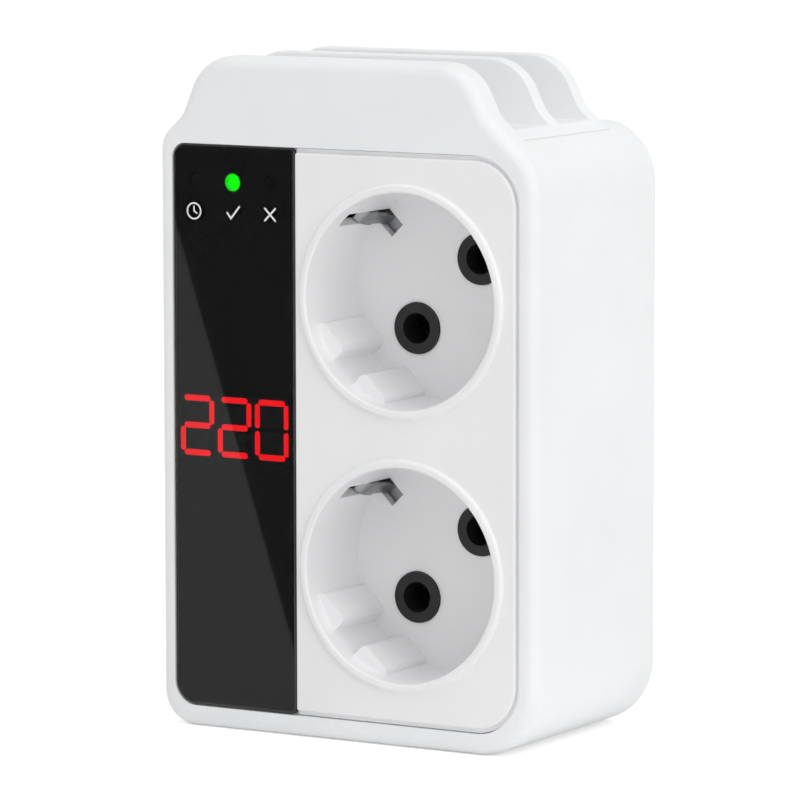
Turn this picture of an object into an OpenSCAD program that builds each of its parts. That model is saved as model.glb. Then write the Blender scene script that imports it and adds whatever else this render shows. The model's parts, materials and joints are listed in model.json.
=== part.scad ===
// Plug-in voltage protector with two recessed earthed sockets, a display
// window and a finned top. X runs to the right, Y from the front to the back
// and Z up. The origin is in the middle of the flat bottom. Inside the
// modules, depths are counted from the front face, and place() moves them.

/* [Housing] */
// Width of the housing
body_width = 80; // [78:1:90]
// Height to the tops of the fins
body_height = 125; // [123:1:132]
// Depth of the housing, without the plug
body_depth = 46; // [45:0.5:56]
// Height of the fins above the flat deck behind them
fin_rise = 12.4; // [10:0.1:14]
// Thickness of the housing's side walls
wall = 2.2; // [1.8:0.1:2.6]
// Thickness of the front wall behind the recess
front_wall = 5; // [4.5:0.1:6]
// Radius of the rounding along the front edge
front_round = 2.3; // [1.5:0.1:3]
// Radius of the rounding along the rear edge
rear_round = 1.4; // [0.8:0.1:1.6]
// Corner radius at the lower right
lower_right_r = 12.5; // [10:0.5:14]
// Corner radius at the upper right
upper_right_r = 11; // [9:0.5:12]
// Corner radius at the upper left
left_r = 5.1; // [4.5:0.1:7]
// Corner radius at the lower left
lower_left_r = 6.5; // [6:0.1:8]

/* [Shouldered fascia and fins] */
// Thickness of the fascia, which is the front fin
fascia_t = 5.5; // [4.5:0.1:6.5]
// Thickness of the second and third fin
fin_t = 3.1; // [2.6:0.1:4]
// Place of the second fin on the way from the fascia to the third fin
fin_share = 0.48; // [0.42:0.01:0.54]
// Rounding of the edges of the second and third fin
fin_round = 0.5; // [0.3:0.1:0.8]
// Slope of the shoulders, in degrees
shoulder_slope = 42; // [36:1:46]
// Width of the right shoulder, from the side to the neck
right_shoulder = 10.1; // [9:0.1:11.5]
// Width of the left shoulder, from the side to the neck
left_shoulder = 4.7; // [4.4:0.1:6]
// Lean of the right end of the fins, in degrees
right_lean = 64; // [60:1:72]
// Lean of the left end of the fins, in degrees
left_lean = 68; // [62:1:74]
// Radius at the top ends of the fins
fin_top_r = 9.5; // [7:0.1:10]
// Radius in the hollow of the right neck
neck_r = 4.5; // [2:0.1:5]
// Radius in the hollow of the left neck
left_neck_r = 6; // [3:0.1:7]

/* [Vent cap] */
// Height of the vent cap's floor above the deck
cap_floor = 0.6; // [0.6:0.1:2]
// Depth of the seat under the deck
cap_seat = 2.2; // [1.8:0.1:3]
// Distance from the housing's right side to the seam
cap_seam_right = 5.5; // [5.2:0.1:6.5]
// Distance from the housing's left side to the seam
cap_seam_left = 3.8; // [3.6:0.1:4.2]
// Width of the ledge that carries the vent cap
cap_ledge = 2.2; // [1.5:0.1:3]
// Distance from that ledge to the rear cover
cap_back = 3.5; // [2.5:0.1:6]

/* [Front recess] */
// Border left of the recess
recess_left = 3.1; // [2.6:0.1:4]
// Border right of the recess
recess_right = 3.2; // [2.8:0.1:4.5]
// Border below the recess
recess_bottom = 4; // [3:0.1:5]
// Distance from the recess up to the deck
recess_top = 3.8; // [3:0.1:5]
// Distance from the wells' cups to the side of the display window
divider_gap = 1.2; // [1:0.1:2]
// Thickness of the display window
window_t = 1; // [0.8:0.1:1.6]
// Thickness of the dark film behind the window
mask_t = 0.2; // [0.1:0.05:0.3]
// Thickness of the socket plate
plate_t = 3; // [2.6:0.1:3.6]
// Width of the groove round the socket plate
groove_w = 0.75; // [0.5:0.05:1]
// Depth of the groove round the socket plate
groove_d = 0.9; // [0.8:0.1:1.6]

/* [Sockets] */
// Radius of each round well
well_r = 19.75; // [19.6:0.05:20]
// Depth of each well
well_depth = 17.5; // [17:0.1:18]
// Share of the height left free by the two cups that lies between them
socket_share = 0.376; // [0.3:0.002:0.45]
// Height of the sockets' middle above the recess's middle
socket_lift = 0.3; // [0:0.1:1]
// Distance from the recess's right edge to the sockets' axes
socket_inset = 24.7; // [23.6:0.1:25.2]
// Distance between the two pin holes of a socket
pin_pitch = 19; // [18.8:0.1:19.2]
// Radius of a pin hole
entry_r = 2.85; // [2.7:0.05:3.1]
// Length of a pin hole
entry_len = 7; // [5:0.5:8]
// Outer radius of the dark collar round a pin hole
collar_r = 4.75; // [4.4:0.05:5]
// Height of the collar above the well's floor
collar_rise = 0.45; // [0.2:0.05:0.8]
// Wall of the cup round a well
cup_wall = 1.6; // [1.2:0.1:1.8]
// Thickness of a well's floor
cup_floor = 2; // [1.6:0.1:2.4]
// Width of the raised ring round a well
ring_w = 1.65; // [1.4:0.05:2.2]
// Height of the raised ring round a well
ring_h = 0.8; // [0.5:0.05:1.2]
// Distance from a well's axis to its guide ribs
rib_reach = 16.25; // [16:0.05:17.2]
// Width over a pair of guide ribs
rib_span = 19.6; // [17:0.1:20.5]
// Width of the channel between a pair of guide ribs
rib_channel = 5.8; // [5:0.1:7.5]
// Depth from the front at which a guide rib starts
rib_start = 2.8; // [2:0.1:5]
// Width of the slot for an earth clip
slot_w = 3.3; // [3.1:0.05:3.6]
// Length of the earth slot in the floor, from the wall inwards
slot_reach = 4.15; // [3.8:0.05:4.8]
// Depth from the front at which that slot starts
slot_start = 3.3; // [3.1:0.1:5]

/* [Contacts] */
// Length of a plug pin
pin_len = 19; // [18.5:0.5:20]
// Radius of a plug pin
pin_r = 2.4; // [2.3:0.05:2.45]
// Thickness of the contact bars and earth strips
strip_t = 1; // [0.6:0.1:1.1]
// Width of the contact bars
bar_w = 4; // [3:0.2:4.4]
// Width of an earth clip's arm at its root
clip_w = 2.2; // [1.8:0.1:2.6]
// Width of an earth clip's arm at its head
clip_head_w = 2.9; // [2.6:0.1:3]
// Thickness of an earth clip
clip_t = 0.8; // [0.5:0.1:0.9]
// Half width of a contact block
block_r = 7.2; // [6.8:0.1:7.6]

/* [Plug] */
// Radius of the plug body
plug_r = 18.9; // [18.6:0.05:19.2]
// Length of the plug body behind the housing
plug_len = 17; // [16:0.5:17.5]
// Height of the plug's axis above the bottom
plug_height = 62.5; // [60:0.5:66]
// Thickness of the rear cover
cover_t = 3; // [2.4:0.1:3]

/* [Boards] */
// Thickness of the boards
board_t = 1.6; // [1.2:0.1:1.8]
// Depth of the display board behind the front face
display_board_y = 9; // [8.6:0.1:10]
// Height of a digit
digit_h = 11.2; // [9:0.1:11.5]
// Distance between the axes of two digits, as a share of the window's width
digit_share = 0.309; // [0.3:0.001:0.312]
// Free space between two digits
digit_space = 0.8; // [0.6:0.1:1.4]
// Thickness of a segment
segment_t = 1.05; // [0.9:0.05:1.4]
// Distance from the window's middle to the digits' middle, to the left
display_shift = 0.6; // [0:0.1:0.6]
// Distance from the recess's top down to the row of lamps
lamp_drop = 7; // [6.5:0.1:9]

/* [Hidden] */

$fn = 64;
// Angle between neighbouring points of a rounded outline
facet_angle = 6;
// Steps across an edge rounding
round_steps = 6;
// Clearance between mating pieces
fit = 0.15;
// Clearance between faces that touch
touch = 0.05;
// Length by which a cutter runs past a face
past = 1;

half_width = body_width / 2;
deck_height = body_height - fin_rise;

// Places counted from the bottom and from the middle
recess_x0 = -half_width + recess_left;
recess_x1 = half_width - recess_right;
recess_z0 = recess_bottom;
recess_z1 = deck_height - recess_top;
recess_mid_z = (recess_z0 + recess_z1) / 2;
cup_r = well_r + cup_wall;
socket_x = recess_x1 - socket_inset;
divider_x = socket_x - cup_r - divider_gap;
window_width = divider_x - recess_x0 - 1.5 * fit;
window_x = recess_x0 + fit + window_width / 2;
display_x = window_x - display_shift;
digit_pitch = digit_share * window_width;
digit_w = digit_pitch - digit_space;
digit_height = recess_mid_z;
lamp_pitch = digit_pitch;
lamp_height = recess_z1 - lamp_drop;
socket_pitch = 2 * cup_r + socket_share * (recess_z1 - recess_z0 - 4 * cup_r);
socket_mid_z = recess_mid_z + socket_lift;
lower_z = socket_mid_z - socket_pitch / 2;
upper_z = socket_mid_z + socket_pitch / 2;
pin_offset = pin_pitch / 2 / sqrt(2);
header_z = recess_z1 - 5;
cap_x0 = -half_width + cap_seam_left;
cap_x1 = half_width - cap_seam_right;
cap_seat_z = deck_height - cap_seat;
cap_frame_z = cap_seat_z - cap_ledge;

// Depths counted from the front face
window_front = 0.2;
window_back = window_front + window_t;
mask_back = window_back + mask_t;
floor_back = well_depth + cup_floor;
cover_front = body_depth - cover_t;
plug_face = body_depth + plug_len;

// The boards and contacts stand one before the other from the rear cover
post_len = 3.15;
board_back = cover_front - post_len - touch;
board_front = board_back - board_t;
bar_back = board_front - touch;
block_back = bar_back - strip_t - touch;

// The fins stand one behind the other from the fascia to the cap's end
cap_end = cover_front - cap_back - cap_ledge;
fin_3 = cap_end - fin_t;
fin_2 = fascia_t + fin_share * (fin_3 - fascia_t);

// Screws
screw_r = 1.5;
screw_head_r = 2.9;
screw_head_t = 1.9;
boss_r = 3.2;
boss_len = 22;
head_rim = 1.2;
cover_screw_len = 14;
small_screw_r = 1.1;
small_head_r = 2.1;
small_head_t = 1.3;
post_r = 2.6;

// Inset that keeps a screw's head on the cover beside a corner of radius r
function boss_inset(r) = r - (r - wall - fit - screw_head_r - head_rim) / sqrt(2);
boss_x = [-half_width + boss_inset(lower_left_r), half_width - boss_inset(lower_right_r)];
boss_z = [boss_inset(lower_right_r), cap_frame_z - 2.4 - boss_r - touch];
boss_places = [for (x = boss_x) for (z = boss_z) [x, z]];
board_screw_places = [
    [window_x - 0.12 * window_width, recess_z0 + 6.5], [window_x, header_z - 4.5],
    [socket_x + pin_offset + 6, socket_mid_z], [socket_x + 8, recess_z0 + 8]
];
display_post_places = [
    [window_x - 0.267 * window_width, digit_height + 14],
    [window_x + 0.267 * window_width, lamp_height - 10]
];

// Vector helpers
function unit(v) = v / norm(v);
function cross_2d(a, b) = a.x * b.y - a.y * b.x;
function inward(a, b) = let (d = unit(b - a)) [-d.y, d.x];
function xz(v) = [v[0], v[1]];

// Corner of an outline after its two edges move inwards by the inset
function moved_corner(a, b, c, inset) =
    let (n1 = inward(a, b), n2 = inward(b, c))
    b + inset * (n1 + n2) / (1 + n1 * n2);

// Points of the arc that rounds corner b between a and c
function corner_arc(a, b, c, r, steps) =
    let (
        u = unit(a - b),
        v = unit(c - b),
        half = acos(u * v) / 2,
        middle = b + unit(u + v) * r / sin(half),
        start = b + u * r / tan(half) - middle,
        end = b + v * r / tan(half) - middle,
        a0 = atan2(start.y, start.x),
        sweep = atan2(cross_2d(start, end), start * end)
    )
    [for (i = [0:steps]) middle + r * [cos(a0 + sweep * i / steps), sin(a0 + sweep * i / steps)]];

// Rounded outline through corners [x, z, radius], counter-clockwise, inset evenly
function outline(corners, inset = 0) =
    let (n = len(corners))
    [
        for (i = [0:n - 1])
            let (
                before = xz(corners[(i + n - 1) % n]),
                here = xz(corners[i]),
                after = xz(corners[(i + 1) % n]),
                before_2 = xz(corners[(i + n - 2) % n]),
                after_2 = xz(corners[(i + 2) % n]),
                bend = cross_2d(unit(here - before), unit(after - here)),
                turn = abs(atan2(bend, unit(here - before) * unit(after - here))),
                r = bend > 0 ? corners[i][2] - inset : corners[i][2] + inset,
                a = moved_corner(before_2, before, here, inset),
                b = moved_corner(before, here, after, inset),
                c = moved_corner(here, after, after_2, inset)
            )
            each corner_arc(a, b, c, max(r, 0.05), max(2, ceil(turn / facet_angle - 0.01)))
    ];

// Height at which the shoulder's slope would meet the side
function shoulder_z(r) = deck_height - r + r * tan((90 - shoulder_slope) / 2);
function neck_z(r, width) = shoulder_z(r) + width * tan(shoulder_slope);
function deck_run(r) = (deck_height - shoulder_z(r)) / tan(shoulder_slope);

right_neck_z = neck_z(upper_right_r, right_shoulder);
left_neck_z = neck_z(left_r, left_shoulder);
right_neck_x = half_width - right_shoulder;
left_neck_x = -half_width + left_shoulder;

// Outline of the fascia and of every fin
fin_corners = [
    [-half_width, 0, lower_left_r],
    [half_width, 0, lower_right_r],
    [half_width, shoulder_z(upper_right_r), upper_right_r],
    [right_neck_x, right_neck_z, neck_r],
    [right_neck_x - (body_height - right_neck_z) / tan(right_lean), body_height, fin_top_r],
    [left_neck_x + (body_height - left_neck_z) / tan(left_lean), body_height, fin_top_r],
    [left_neck_x, left_neck_z, left_neck_r],
    [-half_width, shoulder_z(left_r), left_r]
];

// Outline of the body behind the fascia
body_corners = [
    [-half_width, 0, lower_left_r],
    [half_width, 0, lower_right_r],
    [half_width, shoulder_z(upper_right_r), upper_right_r],
    [half_width - deck_run(upper_right_r), deck_height, 0.8 * upper_right_r],
    [-half_width + deck_run(left_r), deck_height, left_r / 2],
    [-half_width, shoulder_z(left_r), left_r]
];

// Corners of a rectangle with its own radius at each corner
function rectangle_corners(x0, z0, x1, z1, radii) = [
    [x0, z0, radii[0]], [x1, z0, radii[1]], [x1, z1, radii[2]], [x0, z1, radii[3]]
];

// Radii of the recess at its lower left, lower right, upper right and upper left
recess_r = [lower_left_r - 2, lower_right_r - recess_right, upper_right_r - 1.5, 0.54 * left_r];
recess_corners = rectangle_corners(recess_x0, recess_z0, recess_x1, recess_z1, recess_r);
window_corners = rectangle_corners(
    recess_x0 + fit, recess_z0 + fit, divider_x - fit / 2, recess_z1 - fit,
    [recess_r[0] - fit, 0.9, 0.9, recess_r[3] - fit]
);
flange_corners = rectangle_corners(
    divider_x + fit / 2, recess_z0 + fit, recess_x1 - fit, recess_z1 - fit,
    [0.5, recess_r[1] - fit, recess_r[2] - fit, 0.5]
);
plate_corners = rectangle_corners(
    divider_x + fit / 2, recess_z0 + fit + groove_w,
    recess_x1 - fit - groove_w, recess_z1 - fit - groove_w,
    [0.5, recess_r[1] - fit - groove_w, recess_r[2] - fit - groove_w, 0.5]
);

// Rings of an edge rounding: pairs of [inset, depth]
function rounding_in(y, r) = [
    for (i = [0:round_steps]) [r * (1 - sin(90 * i / round_steps)), y + r * (1 - cos(90 * i / round_steps))]
];
function rounding_out(y, r) = [
    for (i = [round_steps:-1:0]) [r * (1 - sin(90 * i / round_steps)), y - r * (1 - cos(90 * i / round_steps))]
];

// Moves a piece from depths behind the front face to the object's frame
module place() {
    translate([0, -body_depth / 2, 0]) children();
}

// Solid through a row of insets of one outline, with both ends fanned from a hub
module loft(corners, rings) {
    loops = [for (ring = rings) [for (p = outline(corners, ring[0])) [p.x, ring[1], p.y]]];
    n = len(loops[0]);
    last = len(loops) - 1;
    hub = (xz(corners[0]) + xz(corners[2])) / 2;
    front = (last + 1) * n;
    polyhedron(
        points = concat(
            [for (loop = loops) each loop],
            [[hub.x, rings[0][1], hub.y], [hub.x, rings[last][1], hub.y]]
        ),
        faces = concat(
            [for (i = [0:n - 1]) [front, (i + 1) % n, i]],
            [
                for (k = [0:last - 1])
                    for (i = [0:n - 1])
                        each [
                            [k * n + i, k * n + (i + 1) % n, (k + 1) * n + (i + 1) % n],
                            [k * n + i, (k + 1) * n + (i + 1) % n, (k + 1) * n + i]
                        ]
            ],
            [for (i = [0:n - 1]) [front + 1, last * n + i, last * n + (i + 1) % n]]
        ),
        convexity = 6
    );
}

// Flat shape in X and Z, thickened from depth y0 to depth y1
module slab(y0, y1) {
    translate([0, y1, 0]) rotate([90, 0, 0]) linear_extrude(y1 - y0) children();
}

// Box between two corners
module box(low, high) {
    translate(low) cube(high - low);
}

// Cylinder along the depth
module rod(x, z, r, y0, y1) {
    translate([x, y1, z]) rotate([90, 0, 0]) cylinder(r = r, h = y1 - y0);
}

// Rounded bar along X or Z, drawn flat
module pill(length, width, upright) {
    rotate(upright ? 90 : 0) {
        square([length - width, width], center = true);
        for (side = [-1, 1]) translate([side * (length - width) / 2, 0]) circle(d = width, $fn = 24);
    }
}

module at_sockets() {
    for (z = [lower_z, upper_z]) translate([socket_x, 0, z]) children();
}

// Repeats a piece at both pins of a socket, on the slanting axis
module at_pins() {
    for (side = [-1, 1]) translate([side * pin_offset, 0, side * pin_offset]) children();
}

// Turns a piece about the depth, so that X points out along an angle
module turned(angle) {
    rotate([0, -angle, 0]) children();
}

// Screw with a countersunk or a round head at depth y; it points to the front
module screw(x, z, r, head_r, head_t, y, length, sunk) {
    translate([x, y, z]) rotate([90, 0, 0]) {
        cylinder(r = r, h = length - r);
        translate([0, 0, length - r]) cylinder(r1 = r, r2 = r / 4, h = r);
        if (sunk) {
            difference() {
                cylinder(r1 = head_r, r2 = r, h = head_t);
                translate([0, 0, -past]) cylinder(r = head_r / 2.4, h = past + head_t / 2, $fn = 6);
            }
        } else {
            difference() {
                translate([0, 0, -head_t]) cylinder(r1 = head_r * 0.86, r2 = head_r, h = head_t);
                translate([0, 0, -head_t - past]) cylinder(r = head_r / 2.4, h = past + head_t / 2, $fn = 6);
            }
        }
    }
}

// Housing shell: shouldered fascia, side walls, front recess and screw bosses
module housing_shell() {
    color("white") place() difference() {
        union() {
            difference() {
                union() {
                    loft(fin_corners, concat(rounding_in(0, front_round), [[0, fascia_t]]));
                    loft(body_corners, concat([[0, fascia_t]], rounding_out(body_depth, rear_round)));
                }
                slab(front_wall, body_depth + past) polygon(outline(body_corners, wall));
            }
            cap_frame();
            cover_bosses();
            display_posts();
        }
        recess_cut();
        cap_cut();
        for (p = boss_places) rod(p.x, p.y, screw_r - 0.3, cover_front - cover_screw_len, cover_front + past);
        for (p = display_post_places) {
            rod(p.x, p.y, small_screw_r, front_wall - 2, display_board_y + past);
        }
    }
}

// Frame under the deck that carries the vent cap
module cap_frame() {
    intersection() {
        slab(front_wall - touch, cap_end + cap_ledge) polygon(outline(body_corners, wall / 2));
        box([-body_width, 0, cap_frame_z], [body_width, body_depth, cap_seat_z]);
    }
}

module cap_cut() {
    // Seat of the cap's floor
    box([cap_x0, fascia_t, cap_seat_z], [cap_x1, cap_end + fit, body_height + past]);
    // Opening inside the ledge
    box(
        [cap_x0 + cap_ledge, fascia_t + cap_ledge, cap_frame_z - past],
        [cap_x1 - cap_ledge, cap_end - cap_ledge, deck_height]
    );
}

// Bosses for the four cover screws, joined to the walls by the corner
module cover_bosses() {
    y0 = cover_front - boss_len;
    intersection() {
        slab(y0, cover_front) polygon(outline(body_corners, wall / 2));
        union() {
            for (p = boss_places) {
                rod(p.x, p.y, boss_r, y0, cover_front);
                web_x = p.x > 0 ? [p.x, half_width] : [-half_width, p.x];
                box([web_x[0], y0, p.y - 1], [web_x[1], cover_front, p.y + 1]);
            }
        }
    }
}

// Posts for the display board on the wall behind the window
module display_posts() {
    for (p = display_post_places) rod(p.x, p.y, post_r, front_wall - touch, display_board_y - touch);
}

// Stepped recess and the openings through the front wall
module recess_cut() {
    slab(-past, mask_back + touch) polygon(outline(recess_corners));
    intersection() {
        slab(-past, plate_t + touch) polygon(outline(recess_corners));
        box([divider_x, -past, 0], [half_width, body_depth, deck_height]);
    }
    // Opening for the two cups
    box(
        [socket_x - cup_r - 0.5, 0, lower_z - cup_r - 0.6],
        [socket_x + cup_r + 0.6, front_wall + past, upper_z + cup_r + 0.6]
    );
    // Opening for the digits
    module_hole = [(3 * digit_pitch + 0.5) / 2, digit_h / 2 + 1.8];
    box(
        [display_x - module_hole.x, 0, digit_height - module_hole.y],
        [display_x + module_hole.x, front_wall + past, digit_height + module_hole.y]
    );
    for (i = [-1:1]) rod(display_x + i * lamp_pitch, lamp_height, 2.2, 0, front_wall + past);
}

// Vent cap: floor on the ledge, skirt in the opening and two fins
module vent_cap() {
    low = cap_seat_z + touch;
    top = deck_height + cap_floor;
    color("white") place() {
        union() {
            intersection() {
                slab(fascia_t + fit, cap_end) polygon(outline(fin_corners, touch));
                box([cap_x0 + fit, 0, low], [cap_x1 - fit, body_depth, top]);
            }
            for (y = [fin_2, fin_3]) {
                intersection() {
                    loft(fin_corners, concat(rounding_in(y, fin_round), rounding_out(y + fin_t, fin_round)));
                    box([-half_width, 0, top - fin_round], [half_width, body_depth, body_height + past]);
                }
            }
            cap_skirt(low);
        }
    }
}

// Skirt below the vent cap that centres it in the opening
module cap_skirt(low) {
    x0 = cap_x0 + cap_ledge + fit;
    x1 = cap_x1 - cap_ledge - fit;
    y0 = fascia_t + cap_ledge + fit;
    y1 = cap_end - cap_ledge - fit;
    drop = cap_ledge + 2;
    skirt_t = 1.5;
    difference() {
        box([x0, y0, low - drop], [x1, y1, low + touch]);
        box([x0 + skirt_t, y0 + skirt_t, low - drop - past], [x1 - skirt_t, y1 - skirt_t, low]);
    }
}

// Socket plate: flange, raised face, two cups with guide ribs and earth slots
module socket_plate() {
    color("whitesmoke") place() difference() {
        union() {
            slab(groove_d, plate_t) polygon(outline(flange_corners));
            loft(plate_corners, concat(rounding_in(0, 0.5), [[0, groove_d + touch]]));
            at_sockets() {
                rod(0, 0, cup_r, plate_t - touch, floor_back);
                well_ring();
            }
        }
        at_sockets() {
            well_cut();
            at_pins() rod(0, 0, collar_r + 0.1, well_depth - past, floor_back + past);
            for (angle = [135, 315]) turned(angle) earth_slot();
        }
    }
}

// Raised ring round the mouth of a well, with both edges rounded
module well_ring() {
    r_in = 0.5;
    r_out = ring_h - 0.1;
    rotate([90, 0, 0]) rotate_extrude($fn = 96) {
        translate([well_r + r_in, -past / 2]) square([ring_w - r_in - r_out, ring_h + past / 2]);
        translate([well_r, -past / 2]) square([ring_w, ring_h - r_out + past / 2]);
        translate([well_r, -past / 2]) square([ring_w / 2, ring_h - r_in + past / 2]);
        translate([well_r + r_in, ring_h - r_in]) circle(r = r_in, $fn = 32);
        translate([well_r + ring_w - r_out, ring_h - r_out]) circle(r = r_out, $fn = 32);
    }
}

// Space of one well, with its pair of guide ribs left standing
module well_cut() {
    difference() {
        rod(0, 0, well_r, -ring_h - past, well_depth);
        turned(225) guide_ribs();
    }
}

// Pair of guide ribs with rounded edges
module guide_ribs() {
    land = (rib_span - rib_channel) / 2;
    edge = 1.2;
    slab(rib_start, well_depth + past) {
        for (side = [-1, 1]) translate([rib_reach, side * (rib_channel + land) / 2]) {
            translate([edge, -land / 2]) square([well_r, land]);
            translate([0, -land / 2 + edge]) square([well_r, land - 2 * edge]);
            for (end = [-1, 1]) translate([edge, end * (land / 2 - edge)]) circle(r = edge, $fn = 32);
        }
    }
}

// Slot for an earth clip, through the wall and the outer part of the floor
module earth_slot() {
    box([well_r - 1, slot_start, -slot_w / 2], [cup_r + past, floor_back + past, slot_w / 2]);
    box([well_r - slot_reach, well_depth - past, -slot_w / 2], [cup_r + past, floor_back + past, slot_w / 2]);
}

// Glossy window over the display
module display_window() {
    color([0.06, 0.06, 0.07]) place()
        loft(window_corners, concat(rounding_in(window_front, 0.35), [[0, window_back]]));
}

// Dark film behind the window, open at the digits and at the lamps
module window_mask() {
    color([0.02, 0.02, 0.02]) place() difference() {
        slab(window_back + touch / 2, mask_back) polygon(outline(window_corners, 0.25));
        slab(0, mask_back + past) {
            translate([display_x, digit_height])
                square([2 * digit_pitch + digit_w + 0.3, digit_h + 0.8], center = true);
            for (i = [-1:1]) translate([display_x + i * lamp_pitch, lamp_height]) circle(r = 1.65);
        }
    }
}

collar_front = well_depth - collar_rise;

// Dark block behind a well's floor, with a collar round each pin hole
module contact_block(z) {
    color([0.1, 0.1, 0.1]) place() translate([socket_x, 0, z]) difference() {
        union() {
            at_pins() rod(0, 0, collar_r, collar_front, floor_back + past);
            slab(floor_back + touch, block_back) block_shape();
        }
        at_pins() {
            rod(0, 0, entry_r, collar_front - past, collar_front + entry_len);
            rod(0, 0, sleeve_r + 0.3, collar_front + entry_len - touch, block_back + past);
        }
        // Groove for the cross strip of the earth clip
        turned(135) box(
            [-block_r - past, floor_back - past, -cross_w / 2 - 0.2],
            [block_r + past, floor_back + touch + clip_t + 0.2, cross_w / 2 + 0.2]
        );
    }
}

sleeve_r = 3.3;
cross_w = 3;

module block_shape() {
    for (side = [-1, 1]) translate([side * pin_offset, side * pin_offset]) circle(r = block_r);
    rotate(45) square([pin_pitch, 2 * block_r - touch], center = true);
}

module upper_contact_block() {
    contact_block(upper_z);
}

module lower_contact_block() {
    contact_block(lower_z);
}

// Contact bar: upright strip with a split spring sleeve for each socket
module contact_bar(side) {
    sleeve_front = collar_front + entry_len + 0.3;
    sleeve_bore = pin_r + 0.05;
    x = socket_x + side * pin_offset;
    z0 = lower_z + side * pin_offset;
    z1 = upper_z + side * pin_offset;
    color("goldenrod") place() difference() {
        union() {
            box([x - bar_w / 2, block_back + touch, z0 - bar_w / 2], [x + bar_w / 2, bar_back, z1 + bar_w / 2]);
            for (z = [z0, z1]) {
                rod(x, z, sleeve_r, sleeve_front, block_back + 2 * touch);
                rod(x, z, sleeve_r, block_back + touch, bar_back);
            }
            // Tails through the main board
            for (z = [z0 + 6, z1 - 6]) rod(x, z, 0.8, bar_back - touch, board_back + 0.8);
        }
        for (z = [z0, z1]) {
            rod(x, z, sleeve_bore, sleeve_front - past, block_back);
            for (angle = [0, 90]) {
                translate([x, 0, z]) turned(angle) box(
                    [-sleeve_r - past, sleeve_front - past, -0.3],
                    [sleeve_r + past, block_back - 4.7, 0.3]
                );
            }
        }
    }
}

module live_bar() {
    contact_bar(-1);
}

module neutral_bar() {
    contact_bar(1);
}

// Side view of an earth clip's arm: [distance from the axis, depth]
clip_path = [
    [well_r - 1.1, floor_back + touch + clip_t / 2],
    [well_r - 0.75, well_depth - 0.8],
    [well_r - 0.6, well_depth - 3],
    [well_r - 0.45, well_depth - 5],
    [well_r - 0.1, well_depth - 6.4],
    [well_r + 0.5, well_depth - 7.2],
    [well_r + 1.35, well_depth - 7.7]
];

// Outline of a bent strip of thickness t along a path
function strip_normal(path, i) =
    let (d = unit(path[min(i + 1, len(path) - 1)] - path[max(i - 1, 0)])) [-d.y, d.x];
function strip_outline(path, t) = concat(
    [for (i = [0:len(path) - 1]) path[i] + strip_normal(path, i) * t / 2],
    [for (i = [len(path) - 1:-1:0]) path[i] - strip_normal(path, i) * t / 2]
);

// Distance from a well's axis to the end of its earth clip's tail
clip_tail = 24;

// Earth clip: two spring arms in the well, joined behind the floor
module earth_clip(z) {
    color("silver") place() translate([socket_x, 0, z]) {
        union() {
            turned(135) box(
                [-well_r + 0.7, floor_back + touch, -cross_w / 2],
                [clip_tail, floor_back + touch + clip_t, cross_w / 2]
            );
            for (angle = [135, 315]) turned(angle) clip_arm();
        }
    }
}

// Spring arm of an earth clip with a narrow root and a wider head
module clip_arm() {
    difference() {
        translate([0, 0, -clip_head_w / 2])
            linear_extrude(clip_head_w) polygon(strip_outline(clip_path, clip_t));
        for (side = [-1, 1]) {
            box(
                [well_r - 4, well_depth - 4, side > 0 ? clip_w / 2 : -clip_head_w / 2 - past],
                [cup_r, floor_back + past + 1, side > 0 ? clip_head_w / 2 + past : -clip_w / 2]
            );
        }
    }
}

module upper_earth_clip() {
    earth_clip(upper_z);
}

module lower_earth_clip() {
    earth_clip(lower_z);
}

// Earth bar: joins both earth clips and runs back to the plug's earth strip
earth_bar_x = socket_x - clip_tail / sqrt(2) + 0.4;
earth_bar_y = floor_back + touch + clip_t + touch;
// Width of the bar, and its reach past the ends of the lower and upper clip
earth_bar_w = 3;
earth_bar_ends = [4, 1];
// Width of the bar's leg, its height above the plug's axis and its play in the board
earth_leg_w = 4;
earth_leg_rise = 12.697;
earth_leg_play = 0.5;
earth_leg_z = plug_height + earth_leg_rise;
plug_strip_y = board_back + 0.9;

module earth_bar() {
    x0 = earth_bar_x - earth_bar_w / 2;
    rise = clip_tail / sqrt(2);
    color("silver") place() union() {
        box(
            [x0, earth_bar_y, lower_z + rise - earth_bar_ends[0]],
            [x0 + earth_bar_w, earth_bar_y + strip_t, upper_z + rise + earth_bar_ends[1]]
        );
        box(
            [x0, earth_bar_y, earth_leg_z - earth_leg_w / 2],
            [x0 + strip_t, plug_strip_y - touch, earth_leg_z + earth_leg_w / 2]
        );
    }
}

// Centre, length and direction of the seven segments, in the order a to g
segment_x = digit_w / 2 - segment_t / 2;
segment_z = digit_h / 2 - segment_t / 2;
segment_gap = 0.12;
corner_step = (segment_t + segment_gap) / sqrt(2);
flat_len = 2 * (segment_x - corner_step) + segment_t;
tall_len = segment_z - 2 * corner_step + segment_t;
SEGMENTS = [
    [0, segment_z, flat_len, false],
    [segment_x, segment_z / 2, tall_len, true],
    [segment_x, -segment_z / 2, tall_len, true],
    [0, -segment_z, flat_len, false],
    [-segment_x, -segment_z / 2, tall_len, true],
    [-segment_x, segment_z / 2, tall_len, true],
    [0, 0, flat_len, false]
];
// Segments that are lit in each digit: two, two and nought
LIT = [[0, 1, 6, 4, 3], [0, 1, 6, 4, 3], [0, 1, 2, 3, 4, 5]];

function is_lit(digit, segment) = len([for (s = LIT[digit]) if (s == segment) s]) > 0;

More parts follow.
